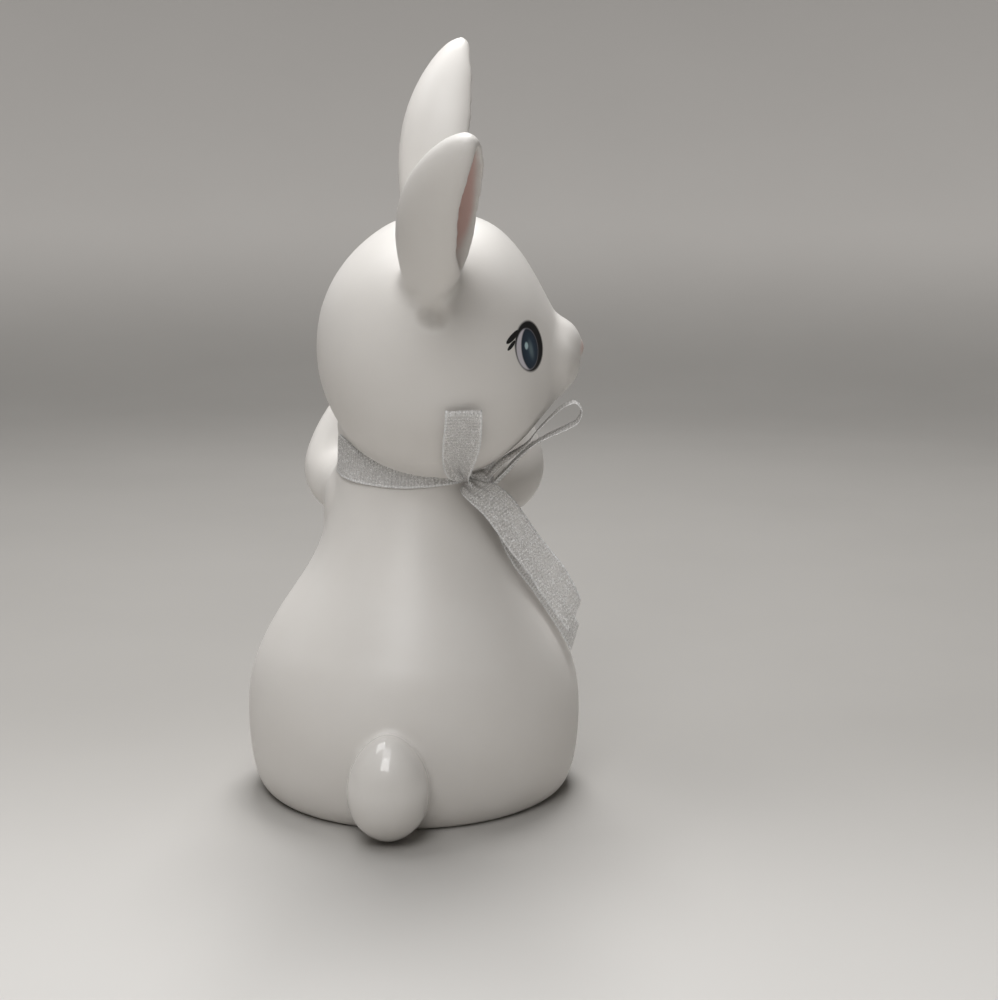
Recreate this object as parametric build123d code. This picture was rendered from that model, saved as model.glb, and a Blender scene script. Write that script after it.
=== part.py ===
from build123d import *
import os
from math import cos, exp, pi, radians, sin

# Ceramic rabbit figurine that sits up with its head turned over its right shoulder, and an
# organza ribbon tied in a bow at the neck. Millimetres. +Z is up and z = 0 is the table. The
# origin is the middle of the body's foot; the chest faces -Y, the tail +Y, and the rabbit's
# own right hand is on -X.

# Body casting: a pear-shaped torso with two haunches, hollow, on a flat foot
FORM_HEIGHT = 100.0       # height to which the torso's sections run, up inside the head
TORSO_WIDTH = 80.0
TORSO_DEPTH = 84.0
NECK_LEAN = 8.0           # how far the neck's middle stands forward of the foot's
HAUNCH_SWELL = 5.8        # how far each haunch swells out of the torso
HAUNCH_FORWARD = 14.0     # degrees in front of the side where a haunch is fullest
HAUNCH_SPREAD = 40.0      # degrees over which it dies away
BODY_WALL = 3.6
VENT_BORE = 3.5           # hole that lets the cast breathe in the kiln
VENT_FRONT = 15.0         # how far in front of the origin it is pierced
RING_POINTS = 24          # points that each section's curve passes

# Head casting, in a frame of its own: forward to the nose, up to the crown
HEAD_LENGTH = 69.3
HEAD_HEIGHT = 69.6
HEAD_WIDTH = 66.0
HEAD_WALL = 3.2
HEAD_MIDDLE_share = 0.439          # of the length, from the back of the skull
HEAD_SIDE, HEAD_BACK = -6.3, 2.5   # where its middle stands, from the body's origin
HEAD_SIT = 21.6           # height of its middle above the torso form's top
HEAD_RISE = FORM_HEIGHT + HEAD_SIT
HEAD_TURN = 83.0          # degrees that the head is turned to the rabbit's right
HEAD_ROLL = 17.0          # degrees that it leans back over the turned shoulder
HEAD_NOD = 0.0
HEAD_STEPS = 2            # sections lofted for each row of its table

# Ears: deep scoops that open forward
EAR_LENGTH = 55.0
EAR_WIDTH = 19.0
EAR_DEPTH = 18.0
EAR_WALL = 2.6
EAR_ROOT = 31.0           # distance of an ear's root from the middle of the head
EAR_ROOT_ANGLE = 42.0     # degrees from the crown down to the root
EAR_SPREAD = 34.0         # degrees between the head's up axis and the ear
EAR_LEAN = 9.3            # degrees that an ear leans forward
LEFT_EAR_TURN = 6.0       # degrees that its opening is turned outward
RIGHT_EAR_TURN = 18.0

# Arms: folded up to the chest, elbows out
ARM_THICKNESS = 16.6
# Each joint's reach to the side, stand in front, and drop below the torso form's top
SHOULDER_REACH, SHOULDER_FRONT, SHOULDER_DROP = 15.0, 14.0, 18.0
ELBOW_REACH, ELBOW_FRONT, ELBOW_DROP = 24.8, 24.0, 18.5
WRIST_REACH, WRIST_FRONT, WRIST_DROP = 21.0, 32.5, 3.0
PAW_REACH, PAW_FRONT, PAW_RISE = 8.2, 37.0, 5.0

# Hind feet, flat on the table under the belly
FOOT_LENGTH = 40.0
FOOT_WIDTH = 23.0
FOOT_HEIGHT = 16.0
FOOT_REACH = 19.0         # from the middle line to the middle of a foot
FOOT_FRONT = 52.0         # from the origin to the toes
FOOT_TOE_OUT = 9.0
FOOT_SOLE_share = 0.3      # of a section's height, from the sole up to its widest line

# Tail: a glazed egg luted to the back
TAIL_WIDTH = 20.6
TAIL_HEIGHT = 27.0
TAIL_BACK = 47.0
TAIL_CLEAR = 0.4          # its height above the table

# Ribbon: one strip of organza, wound once round the neck and tied
RIBBON_WIDTH = 10.0
RIBBON_THICKNESS = 0.5
RIBBON_GAP = 0.25         # between the cloth and the glaze that it lies on
BAND_DROP = 12.2          # its lower edge below the torso form's top, at the neck's middle
BAND_HEIGHT = FORM_HEIGHT - BAND_DROP
BAND_TILT = 9.0           # degrees that the band drops towards the nape
KNOT_AZIMUTH = 52.0       # degrees from the nape round to the rabbit's right
KNOT_RADIUS = 3.3
KNOT_LENGTH = 7.6
KNOT_WAIST_share = 0.78    # of the knot's radius, at its two ends
KNOT_DROP = 14.4          # its middle below the torso form's top
KNOT_HEIGHT = FORM_HEIGHT - KNOT_DROP
UPRIGHT_LOOP_LENGTH = 35.0
SIDE_LOOP_LENGTH = 30.5
LOOP_GAP = 4.6
LOOP_PINCH = 4.6          # width to which a loop is drawn in at the knot
FRONT_TAIL_REACH, FRONT_TAIL_DROP = 23.5, 38.0
BACK_TAIL_REACH, BACK_TAIL_DROP = 23.2, 47.0
TAIL_CUT = 30.0           # degrees of the slanted cut at a ribbon's end

OVERRUN = 5.0             # how far a cutting solid runs past what it cuts

# Torso sections from foot to neck: height, half width, half depth and forward lean, as
# shares of the form's height, width, depth and neck lean, then the haunch as a share
TORSO_shares = (
    (0.000, 0.455, 0.438, -0.15, 0.52),
    (0.015, 0.475, 0.457, -0.17, 0.59),
    (0.040, 0.488, 0.473, -0.19, 0.67),
    (0.100, 0.498, 0.488, -0.22, 0.81),
    (0.180, 0.500, 0.500, -0.22, 0.93),
    (0.270, 0.493, 0.500, -0.20, 1.00),
    (0.360, 0.470, 0.479, -0.15, 0.97),
    (0.440, 0.436, 0.443, -0.05, 0.79),
    (0.520, 0.393, 0.398, 0.10, 0.52),
    (0.600, 0.347, 0.348, 0.30, 0.20),
    (0.680, 0.311, 0.306, 0.51, 0.02),
    (0.760, 0.287, 0.276, 0.70, 0.00),
    (0.840, 0.272, 0.257, 0.87, 0.00),
    (0.920, 0.265, 0.250, 0.98, 0.00),
    (1.000, 0.263, 0.250, 1.02, 0.00),
)

# Head sections from the back of the skull to the muzzle: place along the head, then the
# height of the widest line, of the top and of the bottom, and the half width
HEAD_shares = (
    (0.001, -0.029, 0.003, -0.061, 0.034),
    (0.017, -0.028, 0.105, -0.163, 0.140),
    (0.064, -0.032, 0.221, -0.284, 0.261),
    (0.150, -0.036, 0.335, -0.404, 0.379),
    (0.280, -0.046, 0.434, -0.486, 0.464),
    (0.439, -0.072, 0.483, -0.517, 0.500),
    (0.569, -0.098, 0.471, -0.500, 0.495),
    (0.684, -0.112, 0.420, -0.440, 0.455),
    (0.778, -0.108, 0.319, -0.359, 0.380),
    (0.850, -0.100, 0.197, -0.280, 0.285),
    (0.900, -0.092, 0.105, -0.228, 0.208),
    (0.944, -0.080, 0.060, -0.190, 0.156),
    (0.978, -0.070, 0.014, -0.141, 0.098),
    (0.994, -0.063, -0.022, -0.104, 0.052),
    (0.999, -0.063, -0.044, -0.082, 0.022),
)

# Ear sections from below the root to the tip: place, half width, depth to the back, depth to
# the front, and how far in front of the ear's axis the widest line stands
EAR_shares = (
    (-0.10, 0.290, 0.360, 0.210, 0.02),
    (0.00, 0.330, 0.430, 0.260, 0.03),
    (0.12, 0.410, 0.550, 0.340, 0.10),
    (0.25, 0.470, 0.650, 0.410, 0.19),
    (0.40, 0.500, 0.705, 0.400, 0.18),
    (0.55, 0.495, 0.695, 0.345, 0.12),
    (0.70, 0.440, 0.605, 0.285, 0.07),
    (0.83, 0.345, 0.458, 0.230, 0.03),
    (0.93, 0.223, 0.290, 0.165, 0.00),
    (0.98, 0.121, 0.150, 0.100, 0.00),
    (0.998, 0.036, 0.042, 0.036, 0.00),
)
SCOOP_FRONT_share = 0.75   # of the ear's depth: how far its cutting solid runs forward
# The scoop in an ear: place along it and how much of the room between the walls it takes
SCOOP_shares = (
    (0.18, 0.08),
    (0.24, 0.50),
    (0.32, 0.84),
    (0.43, 1.00),
    (0.56, 1.00),
    (0.70, 1.00),
    (0.82, 0.94),
    (0.90, 0.72),
    (0.94, 0.15),
)

ARM_shares = ((0.00, 0.90), (0.22, 1.00), (0.42, 1.00), (0.62, 0.90), (0.80, 0.80), (0.93, 0.60), (0.99, 0.24))
FOOT_shares = (
    (0.00, 0.34, 0.95),
    (0.30, 0.46, 1.00),
    (0.60, 0.50, 0.90),
    (0.80, 0.46, 0.76),
    (0.92, 0.35, 0.58),
    (0.98, 0.21, 0.42),
    (1.00, 0.10, 0.32),
)
TAIL_shares = (
    (0.00, 0.10),
    (0.02, 0.28),
    (0.08, 0.54),
    (0.22, 0.86),
    (0.45, 1.00),
    (0.68, 0.90),
    (0.86, 0.63),
    (0.96, 0.34),
    (1.00, 0.10),
)
LOOP_shares = ((0.00, 0.00), (0.16, 0.16), (0.42, 0.62), (0.70, 1.00), (0.90, 0.78), (1.00, 0.00))

# Directions of the bow's loops, and of their width: out of the neck, along it to the front, up
UPRIGHT_LEAD_shares = (0.55, -0.60, 0.58)
UPRIGHT_WIDE_shares = (0.73, 0.68, 0.00)
SIDE_LEAD_shares = (0.66, 0.47, 0.59)
SIDE_WIDE_shares = (0.68, -0.73, 0.00)
# The way that each free end's cloth faces: left, back and up of the rabbit
FRONT_FACING_shares = (0.10, 1.00, 0.10)
BACK_FACING_shares = (-1.00, 0.20, 0.00)

# Ribbon tails from the knot to the cut end: reach out to the side, drop, and how far the
# cloth stands behind the knot, all as shares of the tail's reach and drop
FRONT_TAIL_shares = (
    (0.00, 0.00, 0.00),
    (0.15, 0.16, 0.00),
    (0.43, 0.42, -0.04),
    (0.72, 0.68, -0.10),
    (1.00, 1.00, -0.20),
)
BACK_TAIL_shares = (
    (0.00, 0.02, -0.08),
    (0.12, 0.20, -0.40),
    (0.38, 0.46, -0.56),
    (0.80, 0.76, -0.60),
    (1.06, 1.00, -0.60),
)


def smooth_face(plane, outline):
    """Face inside the smooth closed curve through a plane's own points."""
    points = [plane.from_local_coords(point) for point in outline]
    return make_face(Spline(*points, periodic=True))


def egg_outline(half_width, up, down, lift=0):
    """Closed egg: half widths either side, and its own height above and below the widest line."""
    outline = []
    for i in range(RING_POINTS):
        turn = 2 * pi * i / RING_POINTS
        height = up if sin(turn) > 0 else down
        outline.append((half_width * cos(turn), lift + height * sin(turn)))
    return outline


def cut(solid, cutters):
    """The main piece left of a solid after each cutter has been taken from it."""
    for cutter in cutters:
        solid -= cutter
    return max(solid.solids(), key=lambda piece: piece.volume)


def smooth_rows(rows, steps):
    """A table's rows with more between them, so that a loft through them has no ripples."""
    finer = []
    last = len(rows) - 1
    for k in range(last * steps + 1):
        i = min(k // steps, last - 1)
        t = k / steps - i
        near = [rows[max(0, min(last, j))] for j in range(i - 1, i + 3)]
        row = []
        for before, low, high, after in zip(*near):
            bend = 2 * before - 5 * low + 4 * high - after
            twist = 3 * low - before - 3 * high + after
            row.append(low + (high - before) * t / 2 + bend * t ** 2 / 2 + twist * t ** 3 / 2)
        finer.append(row)
    return finer


def between(rows, place, column):
    """Value of a table's column at a place between its rows."""
    for low, high in zip(rows, rows[1:]):
        if place <= high[0]:
            break
    part = (place - low[0]) / (high[0] - low[0])
    return low[column] + part * (high[column] - low[column])


def torso_point(level, turn, grow=0):
    """Point of the torso's skin at a height, turned in degrees from the rabbit's left side."""
    share = level / FORM_HEIGHT
    half_width = TORSO_WIDTH * between(TORSO_shares, share, 1) + grow
    half_depth = TORSO_DEPTH * between(TORSO_shares, share, 2) + grow
    middle = -NECK_LEAN * between(TORSO_shares, share, 3)
    swell = 0
    for fullest in (-HAUNCH_FORWARD, 180 + HAUNCH_FORWARD):
        away = (turn - fullest + 180) % 360 - 180
        swell += exp(-((away / HAUNCH_SPREAD) ** 2))
    swell *= HAUNCH_SWELL * between(TORSO_shares, share, 4)
    angle = radians(turn)
    return Vector((half_width + swell) * cos(angle), middle + (half_depth + swell) * sin(angle), level)


def torso_form(grow=0):
    """Solid of the torso's skin, grown outward or, with a negative size, shrunk."""
    sections = []
    for row in TORSO_shares:
        level = FORM_HEIGHT * row[0]
        points = [torso_point(level, 360 * i / RING_POINTS, grow) for i in range(RING_POINTS)]
        sections.append(make_face(Spline(*points, periodic=True)))
    return loft(sections)


def head_place():
    """Frame of the head: X to the nose, Y to the head's left, Z to the crown."""
    turn = Rot(Z=-90 - HEAD_TURN) * Rot(Y=HEAD_NOD) * Rot(X=HEAD_ROLL)
    return Pos(HEAD_SIDE, HEAD_BACK, HEAD_RISE) * turn


def head_form(grow=0):
    """Solid of the head's skin in its own frame, grown or shrunk."""
    length = HEAD_LENGTH + 2 * grow
    height = HEAD_HEIGHT + 2 * grow
    width = HEAD_WIDTH + 2 * grow
    sections = []
    for place, widest, top, bottom, half in smooth_rows(HEAD_shares, HEAD_STEPS):
        along = length * (place - HEAD_MIDDLE_share)
        plane = Plane(origin=(along, 0, 0), x_dir=(0, 1, 0), z_dir=(1, 0, 0))
        outline = egg_outline(width * half, height * (top - widest), height * (widest - bottom),
                              height * widest)
        sections.append(smooth_face(plane, outline))
    return head_place() * loft(sections)


def make_body(head):
    """Hollow casting with a flat foot, its neck hollowed to seat the head."""
    cavity = torso_form(-BODY_WALL)
    room = 2 * TORSO_WIDTH
    floor = Pos(0, 0, BODY_WALL - room / 2) * Box(room, room, room)
    vent = Pos(0, -VENT_FRONT, 0) * Cylinder(VENT_BORE / 2, 2 * (BODY_WALL + OVERRUN))
    return torso_form() - (cavity - floor) - head - vent


def make_head():
    """Hollow casting with a breathing hole down through the neck."""
    hole = Pos(HEAD_SIDE, HEAD_BACK, HEAD_RISE - HEAD_HEIGHT / 2) * Cylinder(VENT_BORE / 2, HEAD_HEIGHT / 2)
    return head_form() - head_form(-HEAD_WALL) - hole


def ear_section(level, half_width, back, front, crest):
    """Egg section across an ear: its width lies along Y and its opening towards X."""
    plane = Plane(origin=(0, 0, level), x_dir=(0, 1, 0), z_dir=(0, 0, -1))
    return smooth_face(plane, egg_outline(half_width, front - crest, back + crest, crest))


def make_ear(side, turn, head):
    """Cupped ear luted to the crown, on the left with side 1 and on the right with side -1."""
    sections = []
    for place, half, back, front, crest in EAR_shares:
        sections.append(ear_section(
            EAR_LENGTH * place, EAR_WIDTH * half, EAR_DEPTH * back, EAR_DEPTH * front, EAR_DEPTH * crest))
    leaf = loft(sections)
    scoop = []
    for place, room in SCOOP_shares:
        half = (EAR_WIDTH * between(EAR_shares, place, 1) - EAR_WALL) * room
        back = (EAR_DEPTH * between(EAR_shares, place, 2) - EAR_WALL) * room
        crest = EAR_DEPTH * between(EAR_shares, place, 4)
        scoop.append(ear_section(EAR_LENGTH * place, half, back, EAR_DEPTH * SCOOP_FRONT_share, crest))
    root = radians(EAR_ROOT_ANGLE)
    place = head_place() * Pos(0, side * EAR_ROOT * sin(root), EAR_ROOT * cos(root))
    place = place * Rot(X=-side * EAR_SPREAD) * Rot(Y=EAR_LEAN) * Rot(Z=side * turn)
    return place * (leaf - loft(scoop)) - head


def make_arm(side, cutters):
    """Arm from the shoulder out to the elbow and up to the paw on the chest."""
    path = Spline(
        (SHOULDER_REACH, -SHOULDER_FRONT, FORM_HEIGHT - SHOULDER_DROP),
        (ELBOW_REACH, -ELBOW_FRONT, FORM_HEIGHT - ELBOW_DROP),
        (WRIST_REACH, -WRIST_FRONT, FORM_HEIGHT - WRIST_DROP),
        (PAW_REACH, -PAW_FRONT, FORM_HEIGHT + PAW_RISE),
    )
    sections = []
    for place, thickness in ARM_shares:
        plane = Plane(origin=path @ place, x_dir=(0, -1, 0), z_dir=path % place)
        radius = ARM_THICKNESS * thickness / 2
        sections.append(smooth_face(plane, egg_outline(radius, radius, radius)))
    arm = loft(sections)
    if side < 0:
        arm = mirror(arm, Plane.YZ)
    return cut(arm, cutters)


def make_foot(side, torso):
    """Long hind foot with a flat sole, reaching out from under the belly."""
    sections = []
    for place, half, height in FOOT_shares:
        plane = Plane(origin=(0, -FOOT_LENGTH * place, 0), x_dir=(1, 0, 0), z_dir=(0, -1, 0))
        rise = FOOT_HEIGHT * height
        sole = rise * FOOT_SOLE_share
        sections.append(smooth_face(plane, egg_outline(FOOT_WIDTH * half, rise - sole, rise - sole, sole)))
    foot = loft(sections)
    ground = Pos(0, -FOOT_LENGTH / 2, -FOOT_HEIGHT / 2) * Box(2 * FOOT_WIDTH, 2 * FOOT_LENGTH, FOOT_HEIGHT)
    foot = Pos(side * FOOT_REACH, FOOT_LENGTH - FOOT_FRONT, 0) * Rot(Z=side * FOOT_TOE_OUT) * (foot - ground)
    return foot - torso


def make_tail(torso):
    """Egg-shaped tail, cut to the back that it is luted to."""
    sections = []
    for height, width in TAIL_shares:
        radius = TAIL_WIDTH / 2 * width
        plane = Plane(origin=(0, TAIL_BACK, TAIL_CLEAR + TAIL_HEIGHT * height))
        sections.append(smooth_face(plane, egg_outline(radius, radius, radius)))
    return loft(sections) - torso


def band_slab(room=0):
    """Tilted slice of space that the ribbon's width takes round the neck."""
    middle = Vector(0, -NECK_LEAN, BAND_HEIGHT + RIBBON_WIDTH / 2)
    size = 2 * TORSO_WIDTH
    return Pos(*middle) * Rot(X=-BAND_TILT) * Box(size, size, RIBBON_WIDTH + 2 * room)


def knot_frame():
    """Origin of the bow, with the directions out of the neck and along it to the front."""
    seat = torso_point(KNOT_HEIGHT, 90 + KNOT_AZIMUTH, RIBBON_GAP + RIBBON_THICKNESS)
    angle = radians(KNOT_AZIMUTH)
    out = Vector(-sin(angle), cos(angle), 0)
    along = Vector(-cos(angle), -sin(angle), 0)
    return seat + out * KNOT_RADIUS, out, along


def make_knot(cutters):
    """Tight wrap of the ribbon where the loops and tails meet."""
    centre, out, along = knot_frame()
    waist = KNOT_RADIUS * KNOT_WAIST_share
    profile = make_face([
        Spline((-KNOT_LENGTH / 2, waist), (0, KNOT_RADIUS), (KNOT_LENGTH / 2, waist)),
        Polyline((KNOT_LENGTH / 2, waist), (KNOT_LENGTH / 2, 0), (-KNOT_LENGTH / 2, 0), (-KNOT_LENGTH / 2, waist)),
    ])
    barrel = revolve(profile, Axis.X)
    return cut(Plane(origin=centre, x_dir=along, z_dir=out) * barrel, cutters)


def make_loop(length, direction, across, cutters):
    """Flattened loop of ribbon that leaves the knot in a direction, its width lying across."""
    centre, out, along = knot_frame()
    lead = (out * direction[0] + along * direction[1] + Vector(0, 0, direction[2])).normalized()
    wide = out * across[0] + along * across[1] + Vector(0, 0, across[2])
    wide = (wide - lead * wide.dot(lead)).normalized()
    plane = Plane(origin=centre, x_dir=lead, z_dir=wide)
    walls = []
    for inset in (0, RIBBON_THICKNESS):
        points = []
        for place, gap in LOOP_shares:
            points.append((inset + (length - 2 * inset) * place, (LOOP_GAP / 2 - inset) * gap))
        mirrored = [(x, -y) for x, y in reversed(points[1:-1])]
        walls.append(make_face(Spline(*(points + mirrored), periodic=True)))
    strip = extrude(walls[0] - walls[1], RIBBON_WIDTH / 2, both=True)
    half, pinch = RIBBON_WIDTH / 2, LOOP_PINCH / 2
    drawn = length / 2
    start = pinch - (half - pinch) * OVERRUN / drawn
    beside = half + OVERRUN
    wedge = Plane.XZ * make_face(Polyline(
        (-OVERRUN, start), (drawn, half), (drawn, beside), (-OVERRUN, beside), close=True))
    wedge = extrude(wedge, length, both=True)
    strip = strip - wedge - mirror(wedge, Plane.XY)
    return cut(plane * strip, cutters)


def make_ribbon_tail(shares, reach, drop, facing, cutters):
    """Free end of the ribbon, from the knot to its slanted cut."""
    centre = knot_frame()[0]
    side = Vector(-1, 0, 0)
    behind = Vector(0, 1, 0)
    points = []
    for sideways, down, back in shares:
        points.append(centre + side * reach * sideways + behind * reach * back - Vector(0, 0, drop * down))
    path = Spline(*points)
    count = len(points)
    sections = []
    for i in range(count):
        place = i / (count - 1)
        tangent = path % place
        wide = tangent.cross(Vector(*facing)).normalized()
        slant = TAIL_CUT if i == count - 1 else 0
        width = RIBBON_WIDTH / cos(radians(slant))
        if i == 0:
            width = LOOP_PINCH
        plane = Plane(origin=path @ place, x_dir=wide, z_dir=tangent)
        section = Rot(Y=-slant) * Rectangle(width, RIBBON_THICKNESS)
        sections.append(plane * section)
    return cut(loft(sections), cutters)


torso = torso_form()
head_solid = head_form()
head_room = head_form(RIBBON_GAP)
torso_room = torso_form(RIBBON_GAP)
cloth_outside = torso_form(RIBBON_GAP + RIBBON_THICKNESS)
band = (cloth_outside - torso_room) & band_slab()
band = band - head_room
band_room = torso_form(2 * RIBBON_GAP + RIBBON_THICKNESS) & band_slab(RIBBON_GAP)
knot = make_knot([cloth_outside, head_room])

parts = {
    "body": make_body(head_solid),
    "head": make_head(),
    "tail": make_tail(torso),
    "ribbon_neck_band": band,
    "ribbon_knot": knot,
}
for name, side, turn in (("left", 1, LEFT_EAR_TURN), ("right", -1, RIGHT_EAR_TURN)):
    parts[f"ear_{name}"] = make_ear(side, turn, head_solid)
    parts[f"arm_{name}"] = make_arm(side, [torso, band_room, head_solid])
    parts[f"hind_foot_{name}"] = make_foot(side, torso)

clear_of = [head_room, cloth_outside, knot]
upright = make_loop(UPRIGHT_LOOP_LENGTH, UPRIGHT_LEAD_shares, UPRIGHT_WIDE_shares, clear_of)
parts["ribbon_loop_upright"] = upright
parts["ribbon_loop_side"] = make_loop(
    SIDE_LOOP_LENGTH, SIDE_LEAD_shares, SIDE_WIDE_shares, clear_of + [upright])
parts["ribbon_tail_front"] = make_ribbon_tail(
    FRONT_TAIL_shares, FRONT_TAIL_REACH, FRONT_TAIL_DROP, FRONT_FACING_shares, clear_of)
parts["ribbon_tail_back"] = make_ribbon_tail(
    BACK_TAIL_shares, BACK_TAIL_REACH, BACK_TAIL_DROP, BACK_FACING_shares, clear_of)

for name, solid in parts.items():
    solids = solid.solids()
    box = solid.bounding_box()
    print(f"{name}: {len(solids)} solid, {solid.volume:.1f} mm3, "
          f"x {box.min.X:.1f} to {box.max.X:.1f}, y {box.min.Y:.1f} to {box.max.Y:.1f}, "
          f"z {box.min.Z:.1f} to {box.max.Z:.1f}")
    export_step(solid, f"parts/{name}.step")
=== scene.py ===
# %% [markdown]
# # A bisque rabbit with an organza bow
#
# The object is a slip-cast ceramic rabbit that sits up and looks over its right shoulder.
# Its castings (body, head, ears, arms and hind feet) are joined with slip while they are
# damp, fired to white bisque and painted by hand. Only the tail is dipped in clear glaze. A
# length of sheer organza ribbon is tied round the neck.
#
# The CAD model gives each casting its place and size. This script joins their skins softly,
# as slip does, models the face, paints it, and ties the ribbon again as thin cloth.

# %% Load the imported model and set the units
import math

import bmesh
import bpy
import numpy as np
from mathutils import Euler, Matrix, Vector
from mathutils.bvhtree import BVHTree
from mathutils.kdtree import KDTree


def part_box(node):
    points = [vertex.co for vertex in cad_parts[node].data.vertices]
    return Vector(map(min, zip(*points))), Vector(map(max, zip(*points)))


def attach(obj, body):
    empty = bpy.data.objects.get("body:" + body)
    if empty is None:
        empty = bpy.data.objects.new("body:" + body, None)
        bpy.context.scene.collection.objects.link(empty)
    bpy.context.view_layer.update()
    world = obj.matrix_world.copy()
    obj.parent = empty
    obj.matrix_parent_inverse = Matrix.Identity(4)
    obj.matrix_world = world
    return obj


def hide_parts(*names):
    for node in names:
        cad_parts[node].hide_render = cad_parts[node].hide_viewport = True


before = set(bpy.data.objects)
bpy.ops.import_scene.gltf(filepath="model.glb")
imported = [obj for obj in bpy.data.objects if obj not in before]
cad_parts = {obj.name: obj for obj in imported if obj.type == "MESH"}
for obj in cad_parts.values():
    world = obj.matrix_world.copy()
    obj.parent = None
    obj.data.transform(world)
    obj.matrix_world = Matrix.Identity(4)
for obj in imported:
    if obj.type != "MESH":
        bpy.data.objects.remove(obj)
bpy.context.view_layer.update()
MM = 0.001
scene = bpy.context.scene
print("castings and cloth in the frame:", sorted(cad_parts))

# %% [markdown]
# ## Camera
#
# The photograph was taken from behind the rabbit, a little above it, from about half a metre
# away. A photograph's viewpoint can be found by setting known sizes against their sizes in
# the picture. The camera is given by its place round the figure, its height and its pitch,
# so that each number means something on its own.

# %% Camera behind the rabbit
VIEW_TURN = math.radians(5)        # camera stands this far round from straight behind
VIEW_DROP = math.radians(9.5)      # and looks down by this
VIEW_DISTANCE, VIEW_ASIDE, VIEW_HEIGHT = 475 * MM, 23.4 * MM, 158 * MM
FOCAL_SHARE = 1.8                  # focal length as a share of the picture's height

back = Vector((-math.sin(VIEW_TURN), math.cos(VIEW_TURN), 0))
aside = Vector((-math.cos(VIEW_TURN), -math.sin(VIEW_TURN), 0))
looks_along = -back * math.cos(VIEW_DROP) - Vector((0, 0, math.sin(VIEW_DROP)))

camera = bpy.data.objects.new("camera", bpy.data.cameras.new("camera"))
scene.collection.objects.link(camera)
camera.location = back * VIEW_DISTANCE + aside * VIEW_ASIDE + Vector((0, 0, VIEW_HEIGHT))
camera.rotation_euler = looks_along.to_track_quat("-Z", "Y").to_euler()
camera.data.sensor_width = 36
camera.data.lens = camera.data.sensor_width * FOCAL_SHARE
camera.data.clip_start, camera.data.clip_end = 0.02, 20
scene.camera = camera
scene.view_settings.view_transform = "Standard"
print("camera stands at", [round(c, 3) for c in camera.location])

# %% [markdown]
# ## Nodes and colours
#
# Every finish below is built from shader nodes. One small function adds a node, sets its
# settings and joins its inputs, and another turns a colour as it is seen on a screen into the
# linear one that a shader needs.

# %% Helpers for the finishes
def linear(code):
    """Linear colour for an sRGB hex code."""
    shares = [int(code[i:i + 2], 16) / 255 for i in (1, 3, 5)]
    return (*(s / 12.92 if s <= 0.04045 else ((s + 0.055) / 1.055) ** 2.4 for s in shares), 1.0)


def add(tree, kind, inputs=None, **settings):
    """Adds a node, with its settings, and sets or links its inputs by name or number."""
    node = tree.nodes.new(kind)
    for key, value in settings.items():
        setattr(node, key, value)
    for key, value in (inputs or {}).items():
        if isinstance(value, bpy.types.NodeSocket):
            tree.links.new(value, node.inputs[key])
        else:
            node.inputs[key].default_value = value
    return node


def new_finish(name):
    """Empty material with a surface shader of its own: returns the material, tree and shader."""
    material = bpy.data.materials.new(name)
    material.use_nodes = True
    tree = material.node_tree
    tree.nodes.clear()
    shader = add(tree, "ShaderNodeBsdfPrincipled")
    output = add(tree, "ShaderNodeOutputMaterial")
    tree.links.new(shader.outputs[0], output.inputs[0])
    return material, tree, shader


print("a mid grey in linear light:", round(linear("#808080")[0], 3))

# %% [markdown]
# ## Table, backdrop and light
#
# The figure stands on a plain pale table in front of a plain pale wall. A sweep, one sheet
# that curves up from the table, does for both and leaves no line behind the figure. This one
# goes all the way round, like a wide bowl, so that the figure can be looked at from any side.
# The light is soft and from above, as in a room with several ceiling lights: the strongest
# hangs beyond the figure, so that its top is bright and its back is shaded. The wall gets
# little of it, and is given a faint painted glow that only the camera sees, which puts no more
# light on the figure.
# The table is painted paler towards the camera: this is painted light, not the board's own colour.

# %% Table that sweeps up into a wall
def sweep_bowl(name, radius, bend, height, count=96, steps=20):
    """Round floor of a radius that curves up through a bend into a wall, as one mesh."""
    profile = [(radius - bend, 0.0)]
    for i in range(1, steps + 1):
        turn = math.pi / 2 * i / steps
        profile.append((radius - bend + bend * math.sin(turn), bend - bend * math.cos(turn)))
    profile.append((radius, height))
    corners = [(0.0, 0.0, 0.0)]
    for out, up in profile:
        for i in range(count):
            turn = 2 * math.pi * i / count
            corners.append((out * math.cos(turn), out * math.sin(turn), up))
    faces = []
    for i in range(count):
        j = (i + 1) % count
        faces.append((0, 1 + i, 1 + j))
        for k in range(len(profile) - 1):
            low, high = 1 + k * count, 1 + (k + 1) * count
            faces.append((low + i, high + i, high + j, low + j))
    mesh = bpy.data.meshes.new(name)
    mesh.from_pydata(corners, [], faces)
    mesh.shade_smooth()
    obj = bpy.data.objects.new(name, mesh)
    scene.collection.objects.link(obj)
    return obj


table = sweep_bowl("table_and_wall", radius=1.7, bend=0.9, height=1.9)
material, tree, shader = new_finish("painted_board_pale_grey")
place = add(tree, "ShaderNodeTexCoord").outputs["Object"]
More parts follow.
